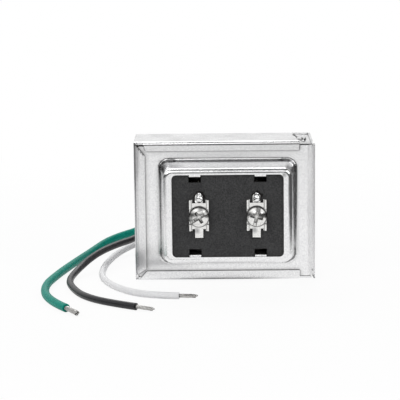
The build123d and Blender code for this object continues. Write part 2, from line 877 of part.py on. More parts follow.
def ground_lug():
    """Ring terminal: barrel around the wire, a step, and a flat ring under the rivet."""
    z = green_route[0][2]
    x0 = lug_start()
    x1 = x0 + lug_barrel_length
    seat = rear_ceiling - lug_thick
    barrel = rod((x0, lug_level(), z), (x1, lug_level(), z), lug_barrel)
    step = box(x1 - 1.4, x1, lug_level(), rear_ceiling, z - 1.2, z + 1.2)
    neck = box(x1 - 1.4, ground_x(), seat, rear_ceiling, z - 1.5, z + 1.5)
    ring = extrude(facing_rear(ground_x(), seat, z) * Circle(lug_ring), lug_thick)
    body = barrel + step + neck + ring
    return body - extrude(facing_rear(ground_x(), seat - 1, z) * Circle(lug_hole), lug_thick + 2)


def ground_x():
    """The x of the ground rivet."""
    return lug_start() + lug_barrel_length + lug_ring


def rivet_hole():
    """The hole in the rear dome for the ground rivet."""
    plane = facing_rear(ground_x(), rear_ceiling - 1, green_route[0][2])
    return extrude(plane * Circle(lug_hole), sheet + 2)


def ground_rivet():
    """Rivet through the ring terminal and the rear dome, headed on both sides."""
    z = green_route[0][2]
    inner = rear_ceiling - lug_thick - rivet_head_thick
    shank_length = rear_crown - rear_ceiling + lug_thick
    seat = facing_rear(ground_x(), rear_ceiling - lug_thick, z)
    shank = extrude(seat * Circle(lug_hole - 0.05), shank_length)
    inside = extrude(facing_rear(ground_x(), inner, z) * Circle(lug_hole + 0.9), rivet_head_thick)
    outside = extrude(facing_rear(ground_x(), rear_crown, z) * Circle(lug_hole + 1.1), rivet_head_thick)
    outside = fillet(outside.faces().sort_by(Axis.Y)[-1].edges(), rivet_head_thick * 0.7)
    return inside + shank + outside


def thermal_cutout():
    """Small protector lying on the rear paper, below the splices."""
    y0 = coil_rear() + 2 * layer_gap + paper
    x0 = dome_shift - cutout_aside
    z0 = core_mid_z - bobbin_length / 2 + flange_thick + paper_front_low
    block = box(x0, x0 + cutout_width, y0, y0 + cutout_thick, z0, z0 + cutout_height)
    return fillet(block.edges().filter_by(Axis.X), 0.8)


leads = [
    (green_route, green_diameter),
    (black_route, black_diameter),
    (white_route, white_diameter),
]
black_splice_start = (black_route[0][0] - splice_reach, splice_y(), black_route[0][2])
white_splice_start = (white_route[0][0] + splice_reach, splice_y(), white_route[0][2])
winding_length = bobbin_length - 2 * flange_thick - 0.1

nodes = {
    "rear_shell": rear_shell(),
    "front_shell": front_shell(),
    "terminal_board": terminal_board(),
    "terminal_plate_left": terminal_plate(-1),
    "terminal_plate_right": terminal_plate(1),
    "terminal_screw_left": terminal_screw(-1, screw_turns["left"]),
    "terminal_screw_right": terminal_screw(1, screw_turns["right"]),
    "solder_joint_left": solder_joint(-1),
    "solder_joint_right": solder_joint(1),
    "secondary_lead_left": secondary_lead(-1),
    "secondary_lead_right": secondary_lead(1),
    "core_e_stack": core_e_stack(),
    "core_i_stack": core_i_stack(),
    "bobbin": bobbin(),
    "primary_winding": winding_ring(1, winding_length),
    "barrier_tape": winding_ring(2, winding_length),
    "secondary_winding": winding_ring(3, winding_length),
    "coil_wrap": winding_ring(4, winding_length),
    "front_insulator": front_insulator(),
    "rear_insulator": rear_insulator(),
    "thermal_cutout": thermal_cutout(),
    "knockout_hub": knockout_hub(),
    "hub_locknut": hub_locknut(),
    "lead_bushing": lead_bushing(leads),
    "green_lead": free_lead("green", green_route, green_diameter),
    "black_lead": free_lead("black", black_route, black_diameter),
    "white_lead": free_lead("white", white_route, white_diameter),
    "green_strands": stripped_end(green_route, strand_tips["green"], strand_diameters["green"]),
    "black_strands": stripped_end(black_route, strand_tips["black"], strand_diameters["black"]),
    "white_strands": stripped_end(white_route, strand_tips["white"], strand_diameters["white"]),
    "green_tail": green_tail(),
    "black_tail": black_tail(),
    "white_tail": white_tail(),
    "black_splice": closed_splice(black_splice_start, -1),
    "white_splice": closed_splice(white_splice_start, 1),
    "primary_start_wire": winding_wire(black_splice_start, -1),
    "primary_finish_wire": winding_wire(white_splice_start, 1),
    "ground_lug": ground_lug(),
    "ground_rivet": ground_rivet(),
}

for name, shape in nodes.items():
    export_step(shape, "parts/" + name + ".step")
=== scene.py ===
import json
from math import cos, pi, radians, sin

import bmesh
import bpy
from mathutils import Matrix, Vector, noise


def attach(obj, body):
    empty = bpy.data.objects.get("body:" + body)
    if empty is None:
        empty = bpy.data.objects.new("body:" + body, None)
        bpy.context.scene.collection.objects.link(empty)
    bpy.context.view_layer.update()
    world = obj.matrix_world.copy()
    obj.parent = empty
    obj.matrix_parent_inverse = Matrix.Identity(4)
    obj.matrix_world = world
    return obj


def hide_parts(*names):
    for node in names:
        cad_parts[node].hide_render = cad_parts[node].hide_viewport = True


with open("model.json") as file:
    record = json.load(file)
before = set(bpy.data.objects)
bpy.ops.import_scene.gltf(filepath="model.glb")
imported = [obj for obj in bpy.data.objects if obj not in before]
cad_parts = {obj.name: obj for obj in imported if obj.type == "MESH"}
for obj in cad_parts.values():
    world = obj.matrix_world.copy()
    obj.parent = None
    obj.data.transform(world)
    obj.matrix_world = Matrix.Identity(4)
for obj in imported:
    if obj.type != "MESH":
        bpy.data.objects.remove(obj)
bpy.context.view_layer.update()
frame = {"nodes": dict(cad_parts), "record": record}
nodes = frame["nodes"]
mm = 0.001
print("frame loaded:", len(nodes), "nodes")


# camera: the photograph's view, slightly from above and a touch from the left

cameraView = {
    "azimuth": radians(-0.766),
    "elevation": radians(9.969),
    "roll": radians(-0.637),
    "target": Vector((-8.828, -14.225, 29.471)) * mm,
    "distance": 650 * mm,
    "lens": 164.33,
}


def makeCamera(view):
    a, e, r = view["azimuth"], view["elevation"], view["roll"]
    forward = Vector((sin(a) * cos(e), cos(a) * cos(e), -sin(e)))
    right = Vector((cos(a), -sin(a), 0))
    up = right.cross(forward)
    tiltedRight = right * cos(r) + up * sin(r)
    tiltedUp = up * cos(r) - right * sin(r)
    place = Matrix((tiltedRight, tiltedUp, -forward)).transposed().to_4x4()
    place.translation = view["target"] - forward * view["distance"]
    data = bpy.data.cameras.new("camera")
    data.lens = view["lens"]
    data.sensor_fit = "HORIZONTAL"
    data.sensor_width = 36
    data.clip_start = 0.01
    data.clip_end = 20
    camera = bpy.data.objects.new("camera", data)
    camera.matrix_world = place
    bpy.context.scene.collection.objects.link(camera)
    bpy.context.scene.camera = camera


makeCamera(cameraView)
print("camera placed")


# shader node groups shared by several finishes

def newGroup(name, inputs, outputs):
    group = bpy.data.node_groups.new(name, "ShaderNodeTree")
    for label, kind, value in inputs:
        socket = group.interface.new_socket(label, in_out="INPUT", socket_type="NodeSocket" + kind)
        if value is not None:
            socket.default_value = value
    for label, kind in outputs:
        group.interface.new_socket(label, in_out="OUTPUT", socket_type="NodeSocket" + kind)
    start = group.nodes.new("NodeGroupInput")
    end = group.nodes.new("NodeGroupOutput")
    return group, start, end


def addNode(tree, kind, settings=None, **values):
    node = tree.nodes.new("ShaderNode" + kind)
    for key, value in (settings or {}).items():
        setattr(node, key, value)
    for key, value in values.items():
        node.inputs[key.replace("_", " ")].default_value = value
    return node


def makeMottleGroup():
    # soft uneven patches and fine specks of a plated or moulded surface
    group, start, end = newGroup(
        "mottle",
        [("Patch Scale", "Float", 90.0), ("Speck Scale", "Float", 1500.0), ("Speck Share", "Float", 0.4)],
        [("Patches", "Float"), ("Specks", "Float"), ("Mixed", "Float")],
    )
    place = addNode(group, "TexCoord")
    patches = addNode(group, "TexNoise", Detail=4.0, Roughness=0.6)
    specks = addNode(group, "TexNoise", Detail=3.0, Roughness=0.7)
    blend = addNode(group, "Mix", {"data_type": "FLOAT"})
    link = group.links.new
    link(place.outputs["Object"], patches.inputs["Vector"])
    link(place.outputs["Object"], specks.inputs["Vector"])
    link(start.outputs["Patch Scale"], patches.inputs["Scale"])
    link(start.outputs["Speck Scale"], specks.inputs["Scale"])
    link(start.outputs["Speck Share"], blend.inputs["Factor"])
    link(patches.outputs["Fac"], blend.inputs["A"])
    link(specks.outputs["Fac"], blend.inputs["B"])
    link(patches.outputs["Fac"], end.inputs["Patches"])
    link(specks.outputs["Fac"], end.inputs["Specks"])
    link(blend.outputs["Result"], end.inputs["Mixed"])
    return group


def makeScratchGroup():
    # fine handling scratches, long in one direction
    group, start, end = newGroup(
        "scratches",
        [("Scale", "Float", 700.0), ("Stretch", "Vector", (1.0, 1.0, 0.05)), ("Low", "Float", 0.62)],
        [("Mask", "Float")],
    )
    place = addNode(group, "TexCoord")
    stretch = addNode(group, "VectorMath", {"operation": "MULTIPLY"})
    lines = addNode(group, "TexNoise", Detail=2.0, Roughness=0.5)
    edge = addNode(group, "MapRange", From_Max=0.8)
    link = group.links.new
    link(place.outputs["Object"], stretch.inputs[0])
    link(start.outputs["Stretch"], stretch.inputs[1])
    link(stretch.outputs["Vector"], lines.inputs["Vector"])
    link(start.outputs["Scale"], lines.inputs["Scale"])
    link(lines.outputs["Fac"], edge.inputs["Value"])
    link(start.outputs["Low"], edge.inputs["From Min"])
    link(edge.outputs["Result"], end.inputs["Mask"])
    return group


def makeCreaseShadeGroup():
    # painted shade that darkens the colour where two surfaces meet, in creases, gaps and recesses
    group, start, end = newGroup(
        "creaseShade",
        [("Reach", "Float", 0.8 * mm), ("Deep", "Float", 0.5), ("Clear", "Float", 0.85)],
        [("Mask", "Float")],
    )
    hollow = addNode(group, "AmbientOcclusion", {"samples": 8})
    edge = addNode(group, "MapRange", To_Min=1.0, To_Max=0.0)
    link = group.links.new
    link(start.outputs["Reach"], hollow.inputs["Distance"])
    link(hollow.outputs["AO"], edge.inputs["Value"])
    link(start.outputs["Deep"], edge.inputs["From Min"])
    link(start.outputs["Clear"], edge.inputs["From Max"])
    link(edge.outputs["Result"], end.inputs["Mask"])
    return group


def makeRimGroup():
    # the narrow line along sheared or worn edges, found from the rounded normal
    group, start, end = newGroup(
        "rims",
        [("Width", "Float", 0.12 * mm), ("Break Up", "Float", 0.35), ("Speck Scale", "Float", 900.0)],
        [("Mask", "Float")],
    )
    rounded = addNode(group, "Bevel", {"samples": 6})
    flat = addNode(group, "NewGeometry")
    match = addNode(group, "VectorMath", {"operation": "DOT_PRODUCT"})
    turn = addNode(group, "MapRange", From_Min=0.99, From_Max=0.86)
    place = addNode(group, "TexCoord")
    specks = addNode(group, "TexNoise", Detail=3.0, Roughness=0.7)
    worn = addNode(group, "MapRange", From_Min=0.35, From_Max=0.6)
    keep = addNode(group, "Mix", {"data_type": "FLOAT"}, A=1.0)
    both = addNode(group, "Math", {"operation": "MULTIPLY"})
    link = group.links.new
    link(start.outputs["Width"], rounded.inputs["Radius"])
    link(rounded.outputs["Normal"], match.inputs[0])
    link(flat.outputs["Normal"], match.inputs[1])
    link(match.outputs["Value"], turn.inputs["Value"])
    link(place.outputs["Object"], specks.inputs["Vector"])
    link(start.outputs["Speck Scale"], specks.inputs["Scale"])
    link(specks.outputs["Fac"], worn.inputs["Value"])
    link(worn.outputs["Result"], keep.inputs["B"])
    link(start.outputs["Break Up"], keep.inputs["Factor"])
    link(turn.outputs["Result"], both.inputs[0])
    link(keep.outputs["Result"], both.inputs[1])
    link(both.outputs["Value"], end.inputs["Mask"])
    return group


def makeZoneGroup():
    # a soft oval region of the object with an uneven outline
    group, start, end = newGroup(
        "zone",
        [("Centre", "Vector", (0.0, 0.0, 0.0)), ("Half", "Vector", (mm, mm, mm)),
         ("Soft", "Float", 0.3), ("Ragged", "Float", 0.15), ("Grain", "Float", 1200.0)],
        [("Mask", "Float")],
    )
    place = addNode(group, "TexCoord")
    offset = addNode(group, "VectorMath", {"operation": "SUBTRACT"})
    share = addNode(group, "VectorMath", {"operation": "DIVIDE"})
    far = addNode(group, "VectorMath", {"operation": "LENGTH"})
    specks = addNode(group, "TexNoise", Detail=3.0, Roughness=0.65)
    centred = addNode(group, "Math", {"operation": "SUBTRACT"})
    centred.inputs[1].default_value = 0.5
    wander = addNode(group, "Math", {"operation": "MULTIPLY_ADD"})
    inner = addNode(group, "Math", {"operation": "SUBTRACT"})
    inner.inputs[0].default_value = 1.0
    edge = addNode(
        group, "MapRange", {"interpolation_type": "SMOOTHSTEP"}, From_Max=1.0, To_Min=1.0, To_Max=0.0
    )
    link = group.links.new
    link(place.outputs["Object"], offset.inputs[0])
    link(start.outputs["Centre"], offset.inputs[1])
    link(offset.outputs["Vector"], share.inputs[0])
    link(start.outputs["Half"], share.inputs[1])
    link(share.outputs["Vector"], far.inputs[0])
    link(place.outputs["Object"], specks.inputs["Vector"])
    link(start.outputs["Grain"], specks.inputs["Scale"])
    link(specks.outputs["Fac"], centred.inputs[0])
    link(centred.outputs["Value"], wander.inputs[0])
    link(start.outputs["Ragged"], wander.inputs[1])
    link(far.outputs["Value"], wander.inputs[2])
    link(start.outputs["Soft"], inner.inputs[1])
    link(inner.outputs["Value"], edge.inputs["From Min"])
    link(wander.outputs["Value"], edge.inputs["Value"])
    link(edge.outputs["Result"], end.inputs["Mask"])
    return group


def makeFormedGroup():
    # where a sheet is bent or drawn, so that its face lies along no axis
    group, start, end = newGroup(
        "formed", [("Flat", "Float", 0.992), ("Bent", "Float", 0.95)], [("Mask", "Float")]
    )
    facing = addNode(group, "NewGeometry")
    size = addNode(group, "VectorMath", {"operation": "ABSOLUTE"})
    parts = addNode(group, "SeparateXYZ")
    first = addNode(group, "Math", {"operation": "MAXIMUM"})
    second = addNode(group, "Math", {"operation": "MAXIMUM"})
    edge = addNode(group, "MapRange")
    link = group.links.new
    link(facing.outputs["Normal"], size.inputs[0])
    link(size.outputs["Vector"], parts.inputs["Vector"])
    link(parts.outputs["X"], first.inputs[0])
    link(parts.outputs["Y"], first.inputs[1])
    link(first.outputs["Value"], second.inputs[0])
    link(parts.outputs["Z"], second.inputs[1])
    link(second.outputs["Value"], edge.inputs["Value"])
    link(start.outputs["Flat"], edge.inputs["From Min"])
    link(start.outputs["Bent"], edge.inputs["From Max"])
    link(edge.outputs["Result"], end.inputs["Mask"])
    return group


mottleGroup = makeMottleGroup()
zoneGroup = makeZoneGroup()
formedGroup = makeFormedGroup()
scratchGroup = makeScratchGroup()
creaseShadeGroup = makeCreaseShadeGroup()
rimGroup = makeRimGroup()


def addGroup(tree, group, **values):
    node = tree.nodes.new("ShaderNodeGroup")
    node.node_tree = group
    for key, value in values.items():
        node.inputs[key.replace("_", " ")].default_value = value
    return node


def newMaterial(name):
    material = bpy.data.materials.new(name)
    material.use_nodes = True
    return material, material.node_tree, material.node_tree.nodes["Principled BSDF"]


def rampBetween(tree, source, low, high, start, end):
    ramp = addNode(tree, "ValToRGB")
    ramp.color_ramp.elements[0].position = start
    ramp.color_ramp.elements[0].color = (*low, 1)
    ramp.color_ramp.elements[1].position = end
    ramp.color_ramp.elements[1].color = (*high, 1)
    tree.links.new(source, ramp.inputs["Fac"])
    return ramp.outputs["Color"]


def spread(tree, source, low, high):
    # turns a noise, which stays near its middle, into values from low to high
    span = addNode(tree, "MapRange", From_Min=0.3, From_Max=0.7, To_Min=low, To_Max=high)
    tree.links.new(source, span.inputs["Value"])
    return span.outputs["Result"]


def addBump(tree, shader, source, strength, distance):
    bump = addNode(tree, "Bump", Strength=strength, Distance=distance)
    tree.links.new(source, bump.inputs["Height"])
    tree.links.new(bump.outputs["Normal"], shader.inputs["Normal"])


def darken(tree, colour, mask, tint, share):
    # multiplies the colour by the tint where the mask is, up to the share
    amount = addNode(tree, "Math", {"operation": "MULTIPLY"})
    amount.inputs[1].default_value = share
    blend = addNode(tree, "Mix", {"data_type": "RGBA", "blend_type": "MULTIPLY"})
    blend.inputs["B"].default_value = (*tint, 1)
    link = tree.links.new
    link(mask, amount.inputs[0])
    link(amount.outputs["Value"], blend.inputs["Factor"])
    link(colour, blend.inputs["A"])
    return blend.outputs["Result"]


def addOval(tree, centre, half, soft, ragged):
    # an oval region given in millimetres
    oval = addGroup(tree, zoneGroup, Soft=soft, Ragged=ragged)
    oval.inputs["Centre"].default_value = tuple(v * mm for v in centre)
    oval.inputs["Half"].default_value = tuple(v * mm for v in half)
    return oval.outputs["Mask"]


def addZone(tree, zone):
    # the mask of one mark, less its hollow if it has one
    soft = zone.get("soft", 0.3)
    ragged = zone.get("ragged", 0.15)
    whole = addOval(tree, zone["centre"], zone["half"], soft, ragged)
    if "hollow" not in zone:
        return whole
    centre, half = zone["hollow"]
    gap = addOval(tree, centre, half, soft, ragged)
    left = addNode(tree, "Math", {"operation": "SUBTRACT", "use_clamp": True})
    tree.links.new(whole, left.inputs[0])
    tree.links.new(gap, left.inputs[1])
    return left.outputs["Value"]


def feed(tree, value, socket):
    # a plain number is set on the socket, anything else is linked to it
    if isinstance(value, float):
        socket.default_value = value
    else:
        tree.links.new(value, socket)


def raiseBy(tree, value, mask, amount):
    lift = addNode(tree, "Math", {"operation": "MULTIPLY_ADD"})
    lift.inputs[1].default_value = amount
    tree.links.new(mask, lift.inputs[0])
    feed(tree, value, lift.inputs[2])
    return lift.outputs["Value"]


# finishes: each has a low and a high colour, and a smooth and a rough value

# creaseShadeTint darkens the colour as painted shade in creases and gaps
creaseShadeTint = (0.12, 0.12, 0.12)
wornEdge = (0.4, 0.4, 0.4)


def platedSheet(
    name, low, high, smooth, rough, creaseShadeShare=0.85, reach=0.8, clear=0.85, drawn=0.0, zones=()
):
    material, tree, shader = newMaterial(name)
    mottle = addGroup(tree, mottleGroup, Patch_Scale=130.0, Speck_Scale=2200.0, Speck_Share=0.75)
    scratch = addGroup(tree, scratchGroup, Scale=900.0)
    creaseShade = addGroup(tree, creaseShadeGroup, Reach=reach * mm, Clear=clear)
    rims = addGroup(tree, rimGroup)
    link = tree.links.new
    colour = rampBetween(tree, mottle.outputs["Mixed"], low, high, 0.38, 0.62)
    # painted shade: darker where surfaces meet, in creases, gaps and recesses
    colour = darken(tree, colour, creaseShade.outputs["Mask"], creaseShadeTint, creaseShadeShare)
    colour = darken(tree, colour, rims.outputs["Mask"], wornEdge, 0.5)
    value = spread(tree, mottle.outputs["Patches"], smooth, rough)
    value = raiseBy(tree, value, scratch.outputs["Mask"], 0.05)
    if drawn:
        formed = addGroup(tree, formedGroup)
        value = raiseBy(tree, value, formed.outputs["Mask"], drawn)
    metal = 1.0
    for zone in zones:
        mask = addZone(tree, zone)
        if "share" in zone:
            colour = darken(tree, colour, mask, zone["tint"], zone["share"])
        if "rough" in zone:
            value = raiseBy(tree, value, mask, zone["rough"])
        if "dull" in zone:
            metal = raiseBy(tree, metal, mask, -zone["dull"])
    feed(tree, metal, shader.inputs["Metallic"])
    link(colour, shader.inputs["Base Color"])
    link(value, shader.inputs["Roughness"])
    addBump(tree, shader, mottle.outputs["Mixed"], 0.2, 0.02 * mm)
    return material


def moulded(name, low, high, smooth, rough, grain=1500.0, shine=0.5, zones=()):
    material, tree, shader = newMaterial(name)
    mottle = addGroup(tree, mottleGroup, Patch_Scale=180.0, Speck_Scale=grain, Speck_Share=0.85)
    colour = rampBetween(tree, mottle.outputs["Mixed"], low, high, 0.35, 0.65)
    value = spread(tree, mottle.outputs["Specks"], smooth, rough)
    metal = 0.0
    for zone in zones:
        mask = addZone(tree, zone)
        colour = darken(tree, colour, mask, zone["tint"], zone["share"])
        value = raiseBy(tree, value, mask, zone["rough"])
        metal = raiseBy(tree, metal, mask, zone["metal"])
    tree.links.new(colour, shader.inputs["Base Color"])
    tree.links.new(value, shader.inputs["Roughness"])
    feed(tree, metal, shader.inputs["Metallic"])
    shader.inputs["Specular IOR Level"].default_value = shine
    addBump(tree, shader, mottle.outputs["Specks"], 0.3, 0.03 * mm)
    return material


# marks drawn by the finishes, most of them painted shade: middle and half size of each oval in millimetres

def middleOf(name):
    corners = [Vector(corner) / mm for corner in nodes[name].bound_box]
    return (Vector(map(min, *corners)) + Vector(map(max, *corners))) / 2


screwColumns = [middleOf("terminal_screw_" + side).x for side in ("left", "right")]
# tints of the marks: deepShade and most uses of grey darken the colour as painted shade, black paints the
# shade in slits, flux is burnt flux
grey = (0.45, 0.45, 0.46)
deepShade = (0.08, 0.08, 0.08)
black = (0.01, 0.01, 0.01)
flux = (0.4, 0.36, 0.34)
caseShadeMarks = [
    {  # painted shade along the left bend of the case
        "centre": (-31.85, -14.3, 25), "half": (0.55, 1.2, 60),
        "tint": grey, "share": 0.85, "soft": 0.7, "ragged": 0.3,
    },
    {  # softer painted shade beside it
        "centre": (-31.0, -14.3, 25), "half": (0.5, 1.2, 60),
        "tint": grey, "share": 0.35, "soft": 0.8, "ragged": 0.5,
    },
    {  # painted shade on the upper part of the left flap
        "centre": (-31.6, -14.3, 46), "half": (1.8, 1.2, 14),
        "tint": grey, "share": 0.45, "soft": 0.6, "rough": 0.1,
    },
    {  # lower part of the left flap
        "centre": (-31.0, -14.3, 8), "half": (3.4, 1.0, 5),
        "tint": grey, "share": 0.65, "soft": 0.8,
    },
    {  # painted shade line under the top bend
        "centre": (0, -14.0, 49.3), "half": (60, 0.9, 0.32),
        "tint": deepShade, "share": 0.85, "soft": 0.6, "ragged": 0.5,
    },
    {  # painted shade line along the bottom bend
        "centre": (-5, -13.9, 0.6), "half": (33, 0.9, 0.8),
        "tint": grey, "share": 0.8, "soft": 0.8,
    },
    {  # painted shade of a slit at the left of the corner tab
        "centre": (25.6, 1.5, 50), "half": (1.1, 4.2, 1.5),
        "tint": black, "share": 1.0, "soft": 0.3, "ragged": 0.7,
    },
    {  # painted shade at the front end of that slit
        "centre": (26.9, -5.5, 50), "half": (0.8, 2.6, 1.5),
        "tint": black, "share": 0.9, "soft": 0.3, "ragged": 0.9,
    },
    {  # painted shade outlining the lanced bridge
        "centre": (28.1, -8.0, 49.8), "half": (1.15, 4.6, 1.5),
        "hollow": ((28.1, -8.0, 49.8), (0.5, 2.2, 1.5)),
        "tint": black, "share": 0.95, "soft": 0.25, "ragged": 0.5,
    },
    {  # dull rear edge of the corner tab
        "centre": (28, 7.4, 50.1), "half": (5, 0.7, 1.0), "dull": 0.9,
    },
    {  # painted shade at the right end of the top flap
        "centre": (26.6, -14.2, 47.6), "half": (0.3, 1.0, 2.2),
        "tint": deepShade, "share": 0.7, "soft": 0.8, "ragged": 0.5,
    },
]
caseShadeMarks += [
    {  # painted shade in the open mitre at the upper left
        "centre": (x, -14.3, z), "half": (0.6, 0.9, 0.95),
        "tint": deepShade, "share": 0.75, "soft": 0.8, "ragged": 0.5,
    }
    for x, z in ((-31.0, 49.0), (-30.3, 48.0), (-29.6, 47.0), (-28.9, 46.1))
]
faceShadeMarks = [
    {  # right edge, bent back
        "centre": (32.4, -13.6, 25), "half": (3.2, 2.4, 60), "soft": 0.25, "rough": 0.3, "dull": 0.85,
    },
    {  # painted shade at the foot of the dome, left
        "centre": (-22.9, -15.0, 25.4), "half": (0.75, 1.8, 24),
        "tint": deepShade, "share": 0.7, "soft": 0.8, "ragged": 0.4,
    },
    {  # painted shade at the foot of the dome, top
        "centre": (1, -14.4, 44.6), "half": (34, 0.8, 0.4),
        "tint": deepShade, "share": 0.6, "soft": 0.8, "ragged": 0.6,
    },
    {  # painted shade at the foot of the dome, bottom
        "centre": (1, -14.4, 6.8), "half": (34, 0.8, 0.45),
        "tint": deepShade, "share": 0.75, "soft": 0.8, "ragged": 0.4,
    },
    {  # painted shade at the lower right of the plate
        "centre": (31.2, -14.3, 6), "half": (2.4, 1.0, 7.5),
        "tint": grey, "share": 0.55, "soft": 0.9,
    },
    {  # painted shade at the upper right corner of the plate
        "centre": (31.5, -13.6, 48.9), "half": (0.7, 1.5, 0.4),
        "tint": deepShade, "share": 0.8, "ragged": 0.4,
    },
    {  # painted shade on the upper wall of the dome near its left end
        "centre": (-19.5, -19.8, 42.3), "half": (7.5, 4.0, 2.8),
        "tint": grey, "share": 0.9, "soft": 0.9, "ragged": 0.4,
    },
    {  # painted shade on the left wall near its upper end
        "centre": (-22.0, -21.0, 40.0), "half": (2.2, 4.0, 3.0),
        "tint": grey, "share": 0.6, "soft": 0.9, "ragged": 0.6,
    },
    {  # painted shade over the upper left corner of the dome
        "centre": (-21.6, -17.0, 42.6), "half": (2.7, 6.0, 2.5),
        "tint": deepShade, "share": 0.93, "soft": 0.6, "ragged": 0.8,
    },
    {  # painted shade at the foot at the top, darker towards the left
        "centre": (-15.5, -14.0, 44.5), "half": (9.0, 1.0, 0.5),
        "tint": deepShade, "share": 0.45, "soft": 0.8, "ragged": 0.4,
    },
    {  # painted shade on the upper right corner of the dome
        "centre": (22.3, -21.0, 41.2), "half": (1.7, 4.5, 2.2),
        "tint": deepShade, "share": 0.7, "soft": 0.8, "ragged": 1.0,
    },
    {  # painted shade at the mouth of the dome at the upper right
        "centre": (20.9, -24.2, 39.9), "half": (1.2, 0.8, 1.2),
        "tint": deepShade, "share": 0.55, "soft": 0.9, "ragged": 0.8,
    },
    {  # painted shade on the upper wall along its foot
        "centre": (1.0, -15.0, 43.4), "half": (40.0, 3.0, 1.0),
        "tint": grey, "share": 0.75, "soft": 0.9, "ragged": 0.4,
    },
    {  # painted shade on the plate above the dome
        "centre": (1.0, -13.5, 45.4), "half": (34.0, 1.0, 1.7),
        "tint": grey, "share": 0.3, "soft": 1.0, "ragged": 0.4,
    },
    {  # painted shade on the rim above the window
        "centre": (1.0, -24.3, 41.6), "half": (26.0, 0.9, 0.9),
        "tint": grey, "share": 0.6, "soft": 0.9, "ragged": 1.2,
    },
    {  # painted shade on the left wall, upper half
        "centre": (-22.6, -16.5, 38.0), "half": (1.4, 5.0, 4.5),
        "tint": deepShade, "share": 0.6, "soft": 0.8, "ragged": 1.0,
    },
]
faceShadeMarks += [
    {  # painted shade at the foot of the dome round its corners
        "centre": (x, -13.9, z), "half": (4.3, 1.1, 4.3),
        "hollow": ((x, -13.9, z), (3.5, 1.4, 3.5)),
        "tint": deepShade, "share": share, "soft": 0.14, "ragged": 0.4,
    }
    for x, z, share in ((-19.5, 40.5, 0.75), (-19.5, 10.3, 0.7), (21.5, 10.3, 0.8), (21.5, 40.5, 0.6))
]
screwShadeMarks = [
    {  # painted shadow: crescent at the upper left of the head
        "centre": (x, -26.5, 25.9), "half": (3.7, 3.0, 3.7),
        "hollow": ((x + shift, -26.5, 24.7), (3.2, 3.0, 3.2)),
        "tint": deepShade, "share": 0.6, "soft": 0.12, "ragged": 0.5, "rough": 0.04,
    }
    for x, shift in zip(screwColumns, (0.7, 0.1))
]
screwShadeMarks += [
    {  # painted shade outlining the head
        "centre": (x, -25.6, 25.4), "half": (4.4, 3.0, 4.4),
        "hollow": ((x, -25.6, 25.4), (3.45, 9.0, 3.45)),
        "tint": deepShade, "share": 0.8, "soft": 0.1, "ragged": 0.1,
    }
    for x in screwColumns
]
plateMarks = [
    {  # shade on the lower tongue
        "centre": (x - 0.8, -24.6, 20.4), "half": (1.5, 2.0, 1.7),
        "tint": grey, "share": 0.9, "soft": 0.8,
    }
    for x in screwColumns
]
fluxMarks = [
    {  # burnt flux round the solder
        "centre": (x + 0.2, -23.6, 32.4), "half": (2.4, 0.6, 2.1),
        "tint": flux, "share": 0.85, "soft": 0.25, "ragged": 1.5, "rough": -0.4, "metal": 0.85,
    }
    for x in screwColumns
]

